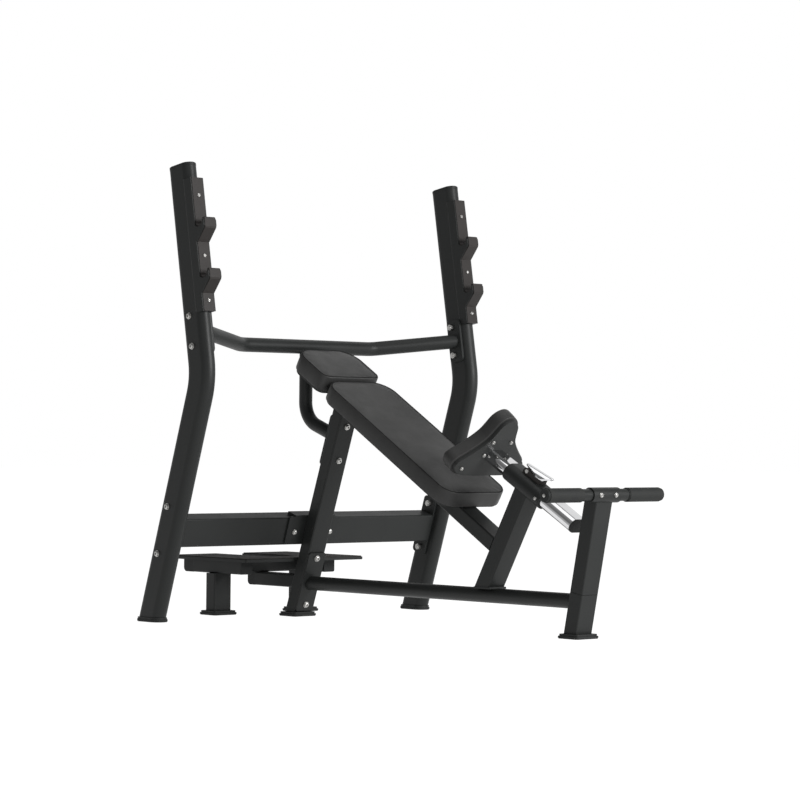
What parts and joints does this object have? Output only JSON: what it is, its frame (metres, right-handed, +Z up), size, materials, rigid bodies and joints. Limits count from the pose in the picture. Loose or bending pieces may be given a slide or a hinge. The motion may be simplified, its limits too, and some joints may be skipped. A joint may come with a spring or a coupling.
{
  "type": "incline bench press station",
  "caption": "Incline bench press station with fixed padded back, sliding lever-locked seat, two uprights with bar hooks, a foot bar and a spotter platform.",
  "frame": {"origin": "centre of the footprint's bounding box, on the floor", "axes": "+Z up, -Y towards the foot bar, +Y towards the spotter platform, X across the bench"},
  "size_m": [1.1852, 1.723, 1.4217],
  "materials": {
    "powder_coat": "satin",
    "vinyl": "satin",
    "pad_board": "matte",
    "chrome": "polished",
    "zinc_bolts": "satin",
    "catch_polymer": "matte",
    "black_polymer": "satin",
    "rubber": "matte",
    "tread_rubber": "matte"
  },
  "bodies": {
    "frame": {"upright_left": "powder_coat", "upright_right": "powder_coat", "upright_caps": "black_polymer", "foot_plates": "powder_coat", "rubber_feet": "rubber", "hook_channel_left": "powder_coat", "hook_channel_right": "powder_coat", "bar_catch_left": "catch_polymer", "bar_catch_right": "catch_polymer", "catch_screws": "zinc_bolts", "upper_crossbar": "powder_coat", "upper_flanges": "powder_coat", "lower_crossbar": "powder_coat", "lower_flanges": "powder_coat", "upright_bolts": "zinc_bolts", "crossbar_saddle": "powder_coat", "saddle_bolts": "zinc_bolts", "main_leg": "powder_coat", "leg_bolts": "zinc_bolts", "tie_tube": "powder_coat", "tie_flange": "powder_coat", "back_frame": "powder_coat", "back_frame_cap": "black_polymer", "pad_plate": "powder_coat", "back_board": "pad_board", "back_pad": "vinyl", "head_board": "pad_board", "head_pad": "vinyl", "pad_screws": "zinc_bolts", "base_tube": "powder_coat", "base_flange": "powder_coat", "mid_post": "powder_coat", "front_post": "powder_coat", "tee_sleeve": "powder_coat", "foot_bar": "powder_coat", "grip_left": "rubber", "grip_right": "rubber", "bar_plugs": "black_polymer", "tee_bolts": "zinc_bolts", "spine_tube": "powder_coat", "rail_left": "powder_coat", "rail_right": "powder_coat", "deck_cross_tube": "powder_coat", "deck_posts": "powder_coat", "deck": "powder_coat", "deck_mat": "tread_rubber", "rail_plugs": "black_polymer", "seat_sleeve": "powder_coat", "sleeve_liners": "black_polymer", "liner_screws": "zinc_bolts", "lever_housing": "catch_polymer", "lever_pin": "zinc_bolts"},
    "seat": {"seat_slide_tube": "chrome", "slide_cap": "black_polymer", "seat_bracket": "powder_coat", "seat_board": "pad_board", "seat_pad": "vinyl", "seat_screws": "zinc_bolts"},
    "lever": {"lever": "chrome"},
    "plunger": {"lock_plunger": "zinc_bolts"}
  },
  "joints": [
    {"name": "seat_slide", "type": "slide", "parent": "frame", "child": "seat", "axis": [0, 0.866, 0.5], "range_m": [-0.025, 0.12]},
    {"name": "lever_hinge", "type": "hinge", "parent": "frame", "child": "lever", "pos_m": [0, -0.54182, 0.48367], "axis": [-1, 0, 0], "range_deg": [0, 18], "stiffness_Nm_per_rad": 0.6, "springref_deg": -20.05},
    {"name": "plunger_slide", "type": "slide", "parent": "frame", "child": "plunger", "axis": [0, -0.5, 0.866], "range_m": [0, 0.0082]}
  ],
  "couplings": [
    {"joint": "plunger_slide", "follows": "lever_hinge", "m_per_rad": 0.0255}
  ]
}
